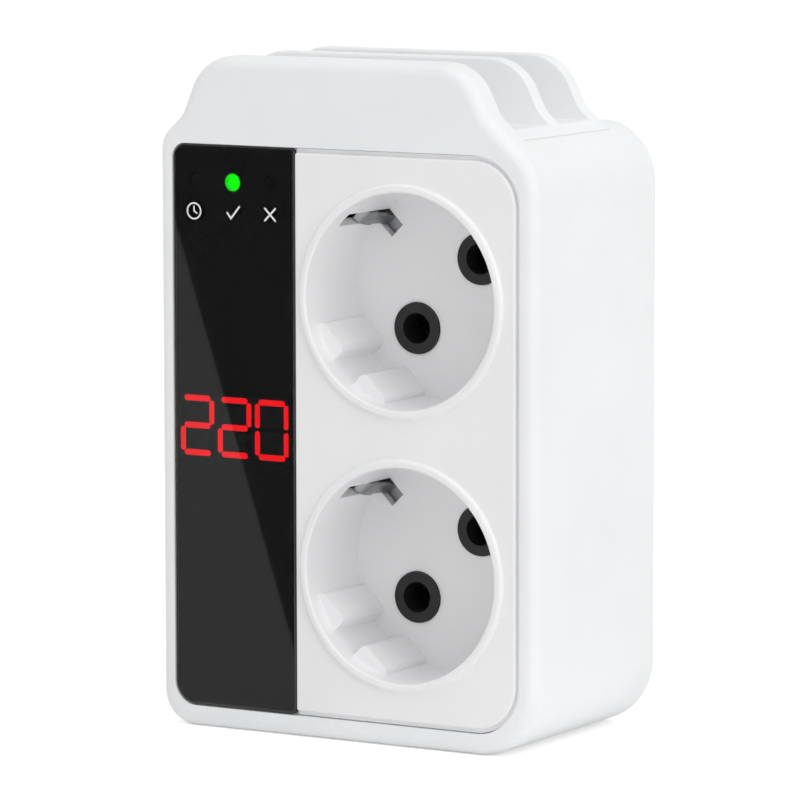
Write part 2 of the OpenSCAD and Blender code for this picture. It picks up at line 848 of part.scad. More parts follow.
// Flat shapes of the segments that are lit, or of those that are not
module segment_shapes(lit, grow) {
    for (digit = [0:2]) {
        translate([display_x + (digit - 1) * digit_pitch, digit_height]) {
            for (s = [0:6]) {
                if (is_lit(digit, s) == lit) {
                    translate([SEGMENTS[s][0], SEGMENTS[s][1]])
                        pill(SEGMENTS[s][2] + 2 * grow, segment_t + 2 * grow, SEGMENTS[s][3]);
                }
            }
        }
    }
}

digit_face = mask_back + 0.15;
segment_depth = 0.6;

// Dark block of the three-digit display
module digit_module() {
    color([0.05, 0.05, 0.05]) place() difference() {
        slab(digit_face, display_board_y - touch) translate([display_x, digit_height])
            square([3 * digit_pitch, digit_h + 3.2], center = true);
        slab(digit_face - past, digit_face + segment_depth + touch) {
            segment_shapes(true, touch);
            segment_shapes(false, touch);
        }
        slab(display_board_y - 2, display_board_y + past) translate([display_x, digit_height])
            square([3 * digit_pitch - 3, digit_h - 2], center = true);
    }
}

module lit_segments() {
    color("red") place() slab(digit_face, digit_face + segment_depth) segment_shapes(true, 0);
}

module unlit_segments() {
    color([0.2, 0.05, 0.05]) place() slab(digit_face, digit_face + segment_depth) segment_shapes(false, 0);
}

// Domed lamp with its base ring and two legs
module lamp(i, shade) {
    lamp_r = 1.5;
    base_y = 6.6;
    color(shade) place() translate([display_x + i * lamp_pitch, 0, lamp_height]) union() {
        translate([0, mask_back + touch + lamp_r, 0]) sphere(r = lamp_r, $fn = 48);
        rod(0, 0, lamp_r, mask_back + touch + lamp_r, base_y);
        rod(0, 0, lamp_r + 0.4, base_y - touch, base_y + 1);
        for (side = [-1, 1]) {
            rod(side * 0.8, 0, 0.25, base_y + 1 - touch, display_board_y + board_t + 0.6);
        }
    }
}

module delay_led() {
    lamp(-1, "khaki");
}

module normal_led() {
    lamp(0, "lime");
}

module fault_led() {
    lamp(1, "salmon");
}

// Board behind the window, with holes for the lamps' legs, screws and header
board_half = 3 * digit_pitch / 2 - 0.1;
header_pins = floor((window_width - 0.5) / 5);
header_step = 2.54;
header_half = header_pins * header_step / 2;
header_x = max(window_x, boss_x[0] + boss_r + 0.35 + header_half);

module display_board() {
    color("darkgreen") place() difference() {
        slab(display_board_y, display_board_y + board_t) translate([display_x - board_half, digit_height - 10])
            square([2 * board_half, header_z + 2.2 - digit_height + 10]);
        for (i = [-1:1]) {
            for (side = [-1, 1]) {
                rod(display_x + i * lamp_pitch + side * 0.8, lamp_height, 0.35,
                    display_board_y - past, display_board_y + board_t + past);
            }
        }
        for (p = display_post_places) {
            rod(p.x, p.y, small_screw_r + 0.15, display_board_y - past, display_board_y + board_t + past);
        }
        header_holes(display_board_y);
    }
}

module header_holes(y) {
    for (i = [0:header_pins - 1]) {
        rod(header_x + (i - (header_pins - 1) / 2) * header_step, header_z, 0.45, y - past, y + board_t + past);
    }
}

module microcontroller() {
    y = display_board_y + board_t + touch;
    size = [9, 2, 6.5];
    z = digit_height + 4;
    color([0.12, 0.12, 0.12]) place() union() {
        box([window_x - size.x / 2, y, z], [window_x + size.x / 2, y + size.y, z + size.z]);
        for (side = [-1, 1]) {
            for (i = [0:5]) {
                box(
                    [window_x - 3.75 + i * 1.27, y, z + size.z / 2 + side * (size.z / 2 + 0.4) - 0.5],
                    [window_x - 3.25 + i * 1.27, y + 0.4, z + size.z / 2 + side * (size.z / 2 + 0.4) + 0.5]
                );
            }
        }
    }
}

// Row of pins that joins the display board to the main board
module board_header() {
    y0 = display_board_y + board_t + touch;
    color([0.15, 0.15, 0.15]) place() union() {
        box(
            [header_x - header_half, y0, header_z - 1.25],
            [header_x + header_half, board_front - touch, header_z + 1.25]
        );
        for (i = [0:header_pins - 1]) {
            rod(header_x + (i - (header_pins - 1) / 2) * header_step, header_z, 0.35,
                display_board_y - 0.8, board_back + 0.6, $fn = 24);
        }
    }
}

// Main board, notched round the screw bosses
module main_board() {
    x0 = -half_width + wall + 1.6;
    x1 = half_width - wall - 3.4;
    color("seagreen") place() difference() {
        slab(board_front, board_back) translate([x0, recess_z0 + 3.6])
            square([x1 - x0, recess_z1 - recess_z0 - 7.4]);
        for (p = boss_places) rod(p.x, p.y, boss_r + 1, board_front - past, board_back + past);
        for (p = board_screw_places) {
            rod(p.x, p.y, small_screw_r + 0.15, board_front - past, board_back + past);
        }
        for (side = [-1, 1]) {
            for (z = [lower_z + 6, upper_z - 6]) {
                rod(socket_x + side * pin_offset, z + side * pin_offset, 0.95,
                    board_front - past, board_back + past);
            }
            rod(side * pin_pitch / 2, plug_height, pin_tip_r + 0.1, board_front - past, board_back + past);
        }
        header_holes(board_front);
        leg_hole = [earth_bar_w / 2 + earth_leg_play, earth_leg_w / 2 + earth_leg_play];
        box(
            [earth_bar_x - leg_hole[0], board_front - past, earth_leg_z - leg_hole[1]],
            [earth_bar_x + 0.2, board_back + past, earth_leg_z + leg_hole[1]]
        );
    }
}

// Parts of the main board stand on its front face in the left column
column_x = window_x;
column_y = board_front - touch;
column_z0 = recess_z0 + 4.5;
column_h = header_z - 7.3 - column_z0;
column_room = board_front - display_board_y - board_t - 3;

module relay() {
    half = 0.439 * window_width;
    y = column_y - 0.775 * column_room;
    z0 = column_z0 + 0.659 * column_h;
    z1 = column_z0 + column_h;
    color("royalblue") place() union() {
        box([column_x - half, y, z0], [column_x + half, column_y - 0.4, z1]);
        box([column_x - half + 1, column_y - 0.4 - touch, z0 + 1], [column_x + half - 1, column_y, z1 - 1]);
    }
}

module film_capacitor() {
    x = column_x - 0.4 * window_width;
    z = column_z0 + 0.437 * column_h;
    color("gold") place() box(
        [x, column_y - 0.61 * column_room, z],
        [x + 0.344 * window_width, column_y, z + 0.205 * column_h]
    );
}

module smoothing_capacitor() {
    r = 0.19 * window_width;
    x = column_x + 0.229 * window_width;
    z = column_z0 + 0.556 * column_h;
    color("navy") place() union() {
        rod(x, z, r, column_y - 0.65 * column_room, column_y - 3);
        rod(x, z, r - 0.5, column_y - 3 - touch, column_y - 2);
        rod(x, z, r, column_y - 2 - touch, column_y);
    }
}

module varistor() {
    r = 0.267 * window_width;
    t = 4.6;
    x = column_x - 0.134 * window_width;
    z = column_z0 + 0.34 * column_h;
    color("dodgerblue") place() union() {
        translate([x, column_y - 3.5 - r, z]) cylinder(r = r, h = t);
        for (side = [-1, 1]) rod(x + side * 3.75, z + t / 2, 0.4, column_y - r, column_y);
    }
}

module rectifier() {
    z = column_z0 + 0.238 * column_h;
    color([0.1, 0.1, 0.1]) place() box(
        [column_x - 0.363 * window_width, column_y - 0.37 * column_room, z],
        [column_x + 0.21 * window_width, column_y, z + 3.4]
    );
}

// Glass fuse lying along Z in two clips
fuse_r = 2.6;
fuse_len = 0.225 * column_h;
fuse_x = column_x + 0.248 * window_width;
fuse_z = column_z0;
fuse_y = column_y - fuse_r - 2;

module fuse() {
    cap_len = 5;
    color("silver") place() translate([fuse_x, fuse_y, fuse_z]) union() {
        cylinder(r = fuse_r, h = cap_len);
        translate([0, 0, cap_len - touch]) cylinder(r = fuse_r - 0.3, h = fuse_len - 2 * cap_len + 2 * touch);
        translate([0, 0, fuse_len - cap_len]) cylinder(r = fuse_r, h = cap_len);
    }
}

module fuse_clips() {
    clip_len = 3.6;
    grip = fuse_r + 0.6;
    color("gainsboro") place() for (z = [fuse_z + 0.7, fuse_z + fuse_len - 0.7 - clip_len]) {
        translate([fuse_x, 0, z]) difference() {
            union() {
                translate([0, fuse_y, 0]) cylinder(r = grip, h = clip_len);
                box([-grip, fuse_y, 0], [grip, board_front - touch, clip_len]);
            }
            translate([0, fuse_y, -past]) cylinder(r = fuse_r + touch, h = clip_len + 2 * past);
            box([-fuse_r + 0.6, fuse_y - grip - past, -past], [fuse_r - 0.6, fuse_y, clip_len + past]);
        }
    }
}

// Rear cover: plate in the shell's mouth, hollow plug body with two pin
// towers, and posts for the main board
plug_groove_r = rib_reach - 0.35;
hollow_r = plug_groove_r - 1.5;
hollow_wall = 3.2;
tower_r = 4.6;
pin_root_r = 2;
pin_tip_r = 1.4;

module rear_cover() {
    color("white") place() difference() {
        union() {
            slab(cover_front, body_depth) polygon(outline(body_corners, wall + fit));
            plug_body();
            for (p = board_screw_places) rod(p.x, p.y, post_r, board_back + touch, cover_front + touch);
        }
        plug_hollow();
        for (side = [-1, 1]) {
            x = side * pin_pitch / 2;
            rod(x, plug_height, pin_root_r + touch, cover_front - 2 * past, plug_face + past);
            plug_strip_slot(side);
        }
        for (p = boss_places) {
            rod(p.x, p.y, screw_r + 0.2, cover_front - past, body_depth + past);
            translate([p.x, body_depth + touch, p.y]) rotate([90, 0, 0])
                cylinder(r1 = screw_head_r + 0.2, r2 = screw_r + 0.1, h = screw_head_t + 0.2);
        }
        for (p = board_screw_places) rod(p.x, p.y, small_screw_r, board_back - past, body_depth - 0.8);
    }
}

groove_low = rib_channel / 2 - 0.3;
groove_high = rib_span / 2 + 0.4;
plug_edge = 1.2;

// Round plug body with guide grooves at the sides and earth recesses above and below
module plug_body() {
    difference() {
        translate([0, body_depth - touch, plug_height]) rotate([-90, 0, 0]) rotate_extrude($fn = 96) {
            square([plug_r, plug_len - plug_edge + touch]);
            square([plug_r - plug_edge, plug_len + touch]);
            translate([plug_r - plug_edge, plug_len - plug_edge + touch]) circle(r = plug_edge, $fn = 48);
        }
        for (side = [-1, 1]) {
            for (end = [-1, 1]) {
                box(
                    [side > 0 ? plug_groove_r : -plug_r - past, body_depth,
                        plug_height + (end > 0 ? groove_low : -groove_high)],
                    [side > 0 ? plug_r + past : -plug_groove_r, plug_face + past,
                        plug_height + (end > 0 ? groove_high : -groove_low)]
                );
            }
        }
    }
}

// Hollow of the plug, open to the inside, round the two pin towers
module plug_hollow() {
    difference() {
        rod(0, plug_height, hollow_r, cover_front - past, plug_face - hollow_wall);
        for (side = [-1, 1]) {
            rod(side * pin_pitch / 2, plug_height, tower_r, cover_front - 2 * past, plug_face);
        }
    }
}

plug_strip_r = plug_r - 1.9;
plug_strip_w = 4;

// Recess for one arm of the earth strip, above or below the plug's axis
module plug_strip_slot(side) {
    low = plug_strip_r - 0.1;
    high = plug_r + past;
    half = plug_strip_w / 2 + 0.3;
    box(
        [-half, body_depth + 0.6, side > 0 ? plug_height + low : plug_height - high],
        [half, plug_face + past, side > 0 ? plug_height + high : plug_height - low]
    );
    // Way through the cover's plate
    box(
        [-half, cover_front - past, side > 0 ? plug_height + low : plug_height - low - strip_t - 0.2],
        [half, body_depth + past, side > 0 ? plug_height + low + strip_t + 0.2 : plug_height - low]
    );
}

// Plug pin with a rounded tip, a root through the plug body and a thin tip in the board
module plug_pin(side) {
    tip_y = plug_face + pin_len;
    color("silver") place() translate([side * pin_pitch / 2, 0, plug_height]) union() {
        rod(0, 0, pin_tip_r, board_front + touch, plug_strip_y + 1);
        rod(0, 0, pin_root_r, plug_strip_y, plug_face + 3 * touch);
        rod(0, 0, pin_r, plug_face + 2 * touch, tip_y - pin_r);
        translate([0, tip_y - pin_r, 0]) sphere(r = pin_r, $fn = 48);
    }
}

module live_pin() {
    plug_pin(-1);
}

module neutral_pin() {
    plug_pin(1);
}

// Earth strip of the plug: upright cross piece, two arms and a side tab
module plug_earth_strip() {
    half = plug_strip_w / 2;
    arm_end = plug_face - 1.5;
    color("silver") place() union() {
        box(
            [-half, plug_strip_y, plug_height - plug_strip_r - strip_t],
            [half, plug_strip_y + strip_t, plug_height + plug_strip_r + strip_t]
        );
        for (side = [-1, 1]) {
            z0 = side > 0 ? plug_height + plug_strip_r : plug_height - plug_strip_r - strip_t;
            box([-half, plug_strip_y, z0], [half, arm_end, z0 + strip_t]);
        }
        box(
            [earth_bar_x - earth_leg_w / 2, plug_strip_y, earth_leg_z - earth_leg_w / 2],
            [-half + touch, plug_strip_y + strip_t, earth_leg_z + earth_leg_w / 2]
        );
    }
}

// Four countersunk screws through the rear cover into the bosses
module cover_screws() {
    color("dimgray") place() for (p = boss_places)
        screw(p.x, p.y, screw_r - 0.35, screw_head_r, screw_head_t, body_depth, cover_screw_len, true);
}

// Screws that hold the main board on the rear cover's posts
module board_screws() {
    reach = min(6, body_depth - 1.2 - board_front);
    y = board_front + touch;
    color("dimgray") place() for (p = board_screw_places)
        translate([0, 2 * board_front, 0]) mirror([0, 1, 0])
            screw(p.x, p.y, small_screw_r - touch, small_head_r, small_head_t, y, reach, false);
}

// Screws that hold the display board on its posts
module display_screws() {
    y = display_board_y + board_t;
    color("dimgray") place() for (p = display_post_places)
        screw(p.x, p.y, small_screw_r - touch, small_head_r, small_head_t, y + touch, 5, false);
}

housing_shell();
rear_cover();
vent_cap();
socket_plate();
display_window();
window_mask();
upper_contact_block();
lower_contact_block();
live_bar();
neutral_bar();
upper_earth_clip();
lower_earth_clip();
earth_bar();
digit_module();
lit_segments();
unlit_segments();
delay_led();
normal_led();
fault_led();
display_board();
microcontroller();
board_header();
main_board();
relay();
film_capacitor();
smoothing_capacitor();
varistor();
rectifier();
fuse();
fuse_clips();
live_pin();
neutral_pin();
plug_earth_strip();
cover_screws();
board_screws();
display_screws();
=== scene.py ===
"""Looks for the plug-in voltage protector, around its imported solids. Metres, Z up, front at -Y."""
import json
import math

import bmesh
import bpy
from mathutils import Matrix, Vector


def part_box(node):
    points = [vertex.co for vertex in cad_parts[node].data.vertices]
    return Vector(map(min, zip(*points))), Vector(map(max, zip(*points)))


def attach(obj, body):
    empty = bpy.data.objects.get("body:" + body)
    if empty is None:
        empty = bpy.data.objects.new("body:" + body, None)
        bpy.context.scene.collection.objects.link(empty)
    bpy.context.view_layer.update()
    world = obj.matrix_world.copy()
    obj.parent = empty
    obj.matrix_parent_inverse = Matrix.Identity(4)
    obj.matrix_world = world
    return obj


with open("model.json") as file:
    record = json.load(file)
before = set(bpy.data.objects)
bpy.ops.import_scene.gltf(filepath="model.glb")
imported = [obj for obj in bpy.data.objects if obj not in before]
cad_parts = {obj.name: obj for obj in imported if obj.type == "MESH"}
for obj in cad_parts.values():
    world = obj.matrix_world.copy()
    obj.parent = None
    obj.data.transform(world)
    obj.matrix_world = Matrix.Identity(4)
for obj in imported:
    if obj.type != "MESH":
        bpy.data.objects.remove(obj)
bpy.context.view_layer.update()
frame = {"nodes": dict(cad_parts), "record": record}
MM = 0.001


def mm(*values):
    """A vector in metres from millimetres."""
    return Vector(values) * MM


# ---------------------------------------------------------------- camera
YAW = math.radians(30.7657)
PITCH = math.radians(6.9492)
ROLL = math.radians(-0.0963)
TARGET = mm(11.978, -23.0, 63.921)
DISTANCE = 1022.33 * MM
SENSOR = 36.0
FOCAL = 254.45
CLIP_START = 0.05
CLIP_END = 60.0


def make_camera():
    """The camera at the photograph's angle, looking at TARGET. Returns its place."""
    level = math.cos(PITCH)
    forward = Vector((-math.sin(YAW) * level, math.cos(YAW) * level, -math.sin(PITCH)))
    right = Vector((math.cos(YAW), math.sin(YAW), 0.0))
    up = right.cross(forward)
    x_axis = math.cos(ROLL) * right + math.sin(ROLL) * up
    y_axis = -math.sin(ROLL) * right + math.cos(ROLL) * up
    turn = Matrix((x_axis, y_axis, -forward)).transposed()
    place = TARGET - DISTANCE * forward
    data = bpy.data.cameras.new("camera")
    data.sensor_width = SENSOR
    data.lens = FOCAL
    data.clip_start = CLIP_START
    data.clip_end = CLIP_END
    camera = bpy.data.objects.new("camera", data)
    camera.matrix_world = Matrix.Translation(place) @ turn.to_4x4()
    bpy.context.scene.collection.objects.link(camera)
    bpy.context.scene.camera = camera
    return place


camera_place = make_camera()


# ---------------------------------------------------------------- materials
NOISE_LOW, NOISE_HIGH = 0.3, 0.7    # the range that most of a noise lies in
WHITE = (1.0, 1.0, 1.0, 1.0)


def srgb(*values):
    """Linear colour from 8-bit screen values."""
    out = []
    for v in values:
        c = v / 255.0
        out.append(c / 12.92 if c <= 0.04045 else ((c + 0.055) / 1.055) ** 2.4)
    return (*out, 1.0)


def shade(color, factor):
    """The colour made darker or lighter, up to full."""
    return (*(min(1.0, c * factor) for c in color[:3]), 1.0)


class Tree:
    """A new material and short ways to make its nodes."""

    def __init__(self, name):
        self.material = bpy.data.materials.new(name)
        self.material.use_nodes = True
        self.nodes = self.material.node_tree.nodes
        self.links = self.material.node_tree.links
        self.nodes.clear()
        self.output = self.nodes.new("ShaderNodeOutputMaterial")
        self.coord = self.nodes.new("ShaderNodeTexCoord")

    def link(self, source, target):
        self.links.new(source, target)

    def noise(self, scale, detail, roughness=0.5, vector=None):
        """Noise over the object's own coordinates, or over the vector given."""
        node = self.nodes.new("ShaderNodeTexNoise")
        node.inputs["Scale"].default_value = scale
        node.inputs["Detail"].default_value = detail
        node.inputs["Roughness"].default_value = roughness
        if vector is None:
            vector = self.coord.outputs["Object"]
        self.link(vector, node.inputs["Vector"])
        return node.outputs["Fac"]

    def spread(self, noise, low, high):
        """The noise's usual range, stretched from low to high."""
        node = self.nodes.new("ShaderNodeMapRange")
        node.inputs["From Min"].default_value = NOISE_LOW
        node.inputs["From Max"].default_value = NOISE_HIGH
        node.inputs["To Min"].default_value = low
        node.inputs["To Max"].default_value = high
        self.link(noise, node.inputs["Value"])
        return node.outputs["Result"]

    def mix(self, factor, first, second):
        """A colour between two; the first may be another node's output."""
        node = self.nodes.new("ShaderNodeMix")
        node.data_type = "RGBA"
        self.link(factor, node.inputs["Factor"])
        if isinstance(first, bpy.types.NodeSocket):
            self.link(first, node.inputs["A"])
        else:
            node.inputs["A"].default_value = first
        node.inputs["B"].default_value = second
        return node.outputs["Result"]

    def vary(self, noise, first, second):
        """A colour that wanders between two with the noise."""
        return self.mix(self.spread(noise, 0.0, 1.0), first, second)

    def bump(self, height, distance, strength):
        node = self.nodes.new("ShaderNodeBump")
        node.inputs["Strength"].default_value = strength
        node.inputs["Distance"].default_value = distance
        self.link(height, node.inputs["Height"])
        return node.outputs["Normal"]

    def surface(self, **values):
        """The principled shader, with the named sockets set."""
        node = self.nodes.new("ShaderNodeBsdfPrincipled")
        for key, value in values.items():
            node.inputs[key.replace("_", " ")].default_value = value
        self.link(node.outputs["BSDF"], self.output.inputs["Surface"])
        return node

    def emission(self):
        """A white emission shader."""
        node = self.nodes.new("ShaderNodeEmission")
        node.inputs["Color"].default_value = WHITE
        return node


def plastic(name, color, roughness, grain=2600.0, depth=0.010, mottle=0.025, gloss=0.5):
    """Moulded plastic: spark-eroded grain (depth in millimetres), mottling and uneven gloss."""
    t = Tree(name)
    bsdf = t.surface(Roughness=roughness, Specular_IOR_Level=gloss)
    large = t.noise(scale=38.0, detail=3.0)
    fine = t.noise(scale=grain, detail=2.0, roughness=0.6)
    uneven = 0.05
    t.link(t.vary(large, shade(color, 1 - mottle), shade(color, 1 + mottle)),
           bsdf.inputs["Base Color"])
    t.link(t.spread(fine, roughness - uneven, roughness + uneven), bsdf.inputs["Roughness"])
    t.link(t.bump(fine, distance=depth * MM, strength=0.6), bsdf.inputs["Normal"])
    return t.material


def metal(name, color, roughness, brush=(60.0, 60.0, 2400.0)):
    """Rolled or plated metal with fine drawing lines (brush is their scale) and some tarnish."""
    t = Tree(name)
    bsdf = t.surface(Metallic=1.0)
    mapping = t.nodes.new("ShaderNodeMapping")
    mapping.inputs["Scale"].default_value = brush
    t.link(t.coord.outputs["Object"], mapping.inputs["Vector"])
    lines = t.noise(scale=1.0, detail=3.0, roughness=0.6, vector=mapping.outputs["Vector"])
    tarnish = t.noise(scale=260.0, detail=4.0)
    tarnished, smoother, rougher, line_depth = 0.82, 0.07, 0.1, 0.004
    t.link(t.vary(tarnish, shade(color, tarnished), color), bsdf.inputs["Base Color"])
    t.link(t.spread(lines, roughness - smoother, roughness + rougher), bsdf.inputs["Roughness"])
    t.link(t.bump(lines, distance=line_depth * MM, strength=0.5), bsdf.inputs["Normal"])
    return t.material


def glow(name, color, shaded_rim, strength):
    """Lit plastic: even in the middle, with painted shade that darkens it towards its edge where it
    turns away from the view.
    """
    t = Tree(name)
    bsdf = t.surface(Roughness=0.35, Emission_Strength=strength)
    facing = t.nodes.new("ShaderNodeLayerWeight")
    facing.inputs["Blend"].default_value = 0.35
    grain = t.noise(scale=1500.0, detail=2.0)
    darkest, unlit = 0.96, 0.3
    body = t.vary(grain, color, shade(color, darkest))
    # Painted shade: the glow goes over to the darker edge colour where the surface faces away from
    # the view.
    t.link(t.mix(facing.outputs["Facing"], body, shaded_rim), bsdf.inputs["Emission Color"])
    bsdf.inputs["Base Color"].default_value = shade(shaded_rim, unlit)
    return t.material


def clear(name, color):
    """Clear or smoked acrylic or glass with a trace of moulding waviness."""
    t = Tree(name)
    bsdf = t.surface(Transmission_Weight=1.0, IOR=1.49)
    waves = t.noise(scale=22.0, detail=1.0)
    dust = t.noise(scale=900.0, detail=3.0)
    darkest, clean, dusty = 0.985, 0.02, 0.015
    t.link(t.vary(waves, color, shade(color, darkest)), bsdf.inputs["Base Color"])
    t.link(t.spread(dust, clean, clean + dusty), bsdf.inputs["Roughness"])
    return t.material


UNLIT = dict(roughness=0.6, grain=3000.0, depth=0.0002, mottle=0.05, gloss=0.05)
COMPONENT = dict(roughness=0.35, grain=2400.0, depth=0.006, mottle=0.05)
FINISHES = {
    "housing_plastic": (plastic, dict(color=srgb(247, 248, 249), roughness=0.46)),
    "plate_plastic": (plastic, dict(color=srgb(248, 248, 249), roughness=0.42, grain=3000.0,
                                    depth=0.007)),
    "window_acrylic": (clear, dict(color=(0.18, 0.18, 0.185, 1.0))),
    "black_film": (plastic, dict(color=srgb(12, 12, 12), roughness=0.6, grain=5000.0,
                                 depth=0.0001, mottle=0.05, gloss=0.05)),
    "black_plastic": (plastic, dict(color=srgb(34, 34, 35), roughness=0.5, grain=3200.0,
                                    mottle=0.08, gloss=0.35)),
    # Painted shade: the contacts' brass is made far darker than brass, so that they look black deep
    # in the pin holes.
    "contact_brass": (metal, dict(color=srgb(64, 53, 33), roughness=0.5)),
    "spring_steel": (metal, dict(color=srgb(168, 169, 171), roughness=0.42)),
    "nickel_pin": (metal, dict(color=srgb(216, 214, 208), roughness=0.22,
                               brush=(60.0, 2400.0, 60.0))),
    "screw_steel": (metal, dict(color=srgb(170, 170, 172), roughness=0.3)),
    # The lit parts' second colour is painted shade, for their edges where they turn away from the
    # view.
    "lit_red": (glow, dict(color=srgb(243, 14, 22), shaded_rim=srgb(225, 20, 28), strength=5.7)),
    "unlit_red": (plastic, dict(color=srgb(12, 11, 11), **UNLIT)),
    "lit_green": (glow, dict(color=(0.0, 1.0, 0.0, 1.0), shaded_rim=(0.0, 0.7, 0.0, 1.0),
                             strength=6.3)),
    "unlit_lamp": (plastic, dict(color=srgb(9, 9, 9), **UNLIT)),
    "board_laminate": (plastic, dict(color=srgb(12, 42, 26), roughness=0.4, grain=900.0,
                                     mottle=0.12)),
    "relay_plastic": (plastic, dict(color=srgb(34, 72, 140), **COMPONENT)),
    "capacitor_plastic": (plastic, dict(color=srgb(205, 176, 70), **COMPONENT)),
    "fuse_glass": (clear, dict(color=srgb(240, 245, 243))),
    "white_ink": (plastic, dict(color=srgb(240, 240, 240), roughness=0.5, grain=6000.0,
                                depth=0.001, mottle=0.02)),
}
MATERIALS = {name: make(name, **look) for name, (make, look) in FINISHES.items()}


# ---------------------------------------------------------------- shading of the solids
MERGE_DISTANCE = 2e-6
SMOOTH_BELOW = math.radians(28.0)
WINDOW_EDGE = 0.12 * MM
WINDOW_EDGE_SEGMENTS = 3
WINDOW_EDGE_ANGLE = math.radians(50)


def make_smooth_group():
    """Joins the solids' split corners and shades them smooth across low edges."""
    group = bpy.data.node_groups.new("smooth_solid", "GeometryNodeTree")
    group.interface.new_socket("Geometry", in_out="INPUT", socket_type="NodeSocketGeometry")
    group.interface.new_socket("Geometry", in_out="OUTPUT", socket_type="NodeSocketGeometry")
    nodes, links = group.nodes, group.links
    start = nodes.new("NodeGroupInput")
    end = nodes.new("NodeGroupOutput")
    merge = nodes.new("GeometryNodeMergeByDistance")
    merge.inputs["Distance"].default_value = MERGE_DISTANCE
    drop = nodes.new("GeometryNodeRemoveAttribute")
    drop.inputs["Name"].default_value = "custom_normal"
    faces = nodes.new("GeometryNodeSetShadeSmooth")
    faces.domain = "FACE"
    edges = nodes.new("GeometryNodeSetShadeSmooth")
    edges.domain = "EDGE"
    angle = nodes.new("GeometryNodeInputMeshEdgeAngle")
    low = nodes.new("FunctionNodeCompare")
    low.data_type = "FLOAT"
    low.operation = "LESS_THAN"
    low.inputs["B"].default_value = SMOOTH_BELOW
    links.new(start.outputs[0], merge.inputs["Geometry"])
    links.new(merge.outputs["Geometry"], drop.inputs["Geometry"])
    links.new(drop.outputs["Geometry"], faces.inputs["Geometry"])
    links.new(faces.outputs["Geometry"], edges.inputs["Geometry"])
    links.new(angle.outputs["Unsigned Angle"], low.inputs["A"])
    links.new(low.outputs["Result"], edges.inputs["Shade Smooth"])
    links.new(edges.outputs["Geometry"], end.inputs[0])
    return group


def dress_solids():
    """Gives every solid its material and shading, and the window its broken edges."""
    smooth_group = make_smooth_group()
    for part in frame["record"]["subparts"]:
        solid = frame["nodes"][part["node"]]
        solid.data.materials.clear()
        solid.data.materials.append(MATERIALS[part["material_slot"]])
        if part["node"] == "display_window":
            solid.modifiers.new("weld", "WELD").merge_threshold = MERGE_DISTANCE
            edge = solid.modifiers.new("edge", "BEVEL")
            edge.width = WINDOW_EDGE
            edge.segments = WINDOW_EDGE_SEGMENTS
            edge.limit_method = "ANGLE"
            edge.angle_limit = WINDOW_EDGE_ANGLE
        solid.modifiers.new("smooth", "NODES").node_group = smooth_group
        weigh = solid.modifiers.new("weigh", "WEIGHTED_NORMAL")
        weigh.keep_sharp = True
        weigh.mode = "FACE_AREA"


# ---------------------------------------------------------------- new pieces, in millimetres
WINDOW_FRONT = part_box("display_window")[0].y / MM
RING_STEPS = 40

PRINT_DEPTHS = (WINDOW_FRONT - 0.016, WINDOW_FRONT - 0.004)
MARK_Z = 96.3
CLOCK_X, TICK_X, CROSS_X = -32.2, -23.7, -15.7
CLOCK_RADIUS = 1.45
CLOCK_LINE, HAND_LINE, MARK_LINE = 0.3, 0.28, 0.34
MARK_LINES = (    # the mark's x, the line's width and its points, from the mark's middle
    (CLOCK_X, HAND_LINE, ((0.0, 0.95), (0.0, 0.0), (0.7, -0.45))),
    (TICK_X, MARK_LINE, ((-1.35, 0.05), (-0.45, -1.05), (1.45, 1.25))),
    (CROSS_X, MARK_LINE, ((-1.2, 1.2), (1.2, -1.2))),
    (CROSS_X, MARK_LINE, ((-1.2, -1.2), (-0.17, -0.17))),
    (CROSS_X, MARK_LINE, ((0.17, 0.17), (1.2, 1.2))),
)

SLEEVE_RADIUS = 1.85    # to the middle of the wall
SLEEVE_WALL = 0.5
SLEEVE_START, SLEEVE_END = 0.02, 3.4    # behind the lamp's front


def mesh_object(name, material, bm):
    """Links a new object with the faces of the bmesh, and frees the bmesh."""
    mesh = bpy.data.meshes.new(name)
    bm.to_mesh(mesh)
    bm.free()
    mesh.materials.append(material)
    made = bpy.data.objects.new(name, mesh)
    bpy.context.scene.collection.objects.link(made)
    return made


def new_piece(name, material, bm):
    """A piece of the object, which rides on the part's one body."""
    bmesh.ops.recalc_face_normals(bm, faces=bm.faces)
    piece = mesh_object(name, material, bm)
    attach(piece, "root")
    return piece


def strip(bm, points, width, y0, y1, closed=False):
    """Flat band of one width along points [x, z], from depth y0 to y1."""
    count = len(points)
    rows = []
    for i, point in enumerate(points):
        here = Vector(point)
        inward = outward = None
        if closed or i > 0:
            inward = (here - Vector(points[i - 1])).normalized()
        if closed or i < count - 1:
            outward = (Vector(points[(i + 1) % count]) - here).normalized()
        inward = inward or outward
        outward = outward or inward
        n1, n2 = Vector((-inward.y, inward.x)), Vector((-outward.y, outward.x))
        side = (n1 + n2) / (1 + n1.dot(n2)) * width / 2
        rows.append((here + side, here - side))
    loops = [[bm.verts.new((p.x * MM, y * MM, p.y * MM)) for p in row]
             for y in (y0, y1) for row in rows]
    front, back = loops[:count], loops[count:]
    for i in range(count if closed else count - 1):
        j = (i + 1) % count
        bm.faces.new((front[i][0], front[i][1], front[j][1], front[j][0]))
        bm.faces.new((back[i][0], back[j][0], back[j][1], back[i][1]))
        bm.faces.new((front[i][0], front[j][0], back[j][0], back[i][0]))
        bm.faces.new((front[i][1], back[i][1], back[j][1], front[j][1]))
    if not closed:
        for i in (0, count - 1):
            bm.faces.new((front[i][0], back[i][0], back[i][1], front[i][1]))


def ring(x, z, radius):
    """Points round a circle, for a closed strip."""
    turns = [math.radians(360 * i / RING_STEPS) for i in range(RING_STEPS)]
    return [(x + radius * math.cos(turn), z + radius * math.sin(turn)) for turn in turns]


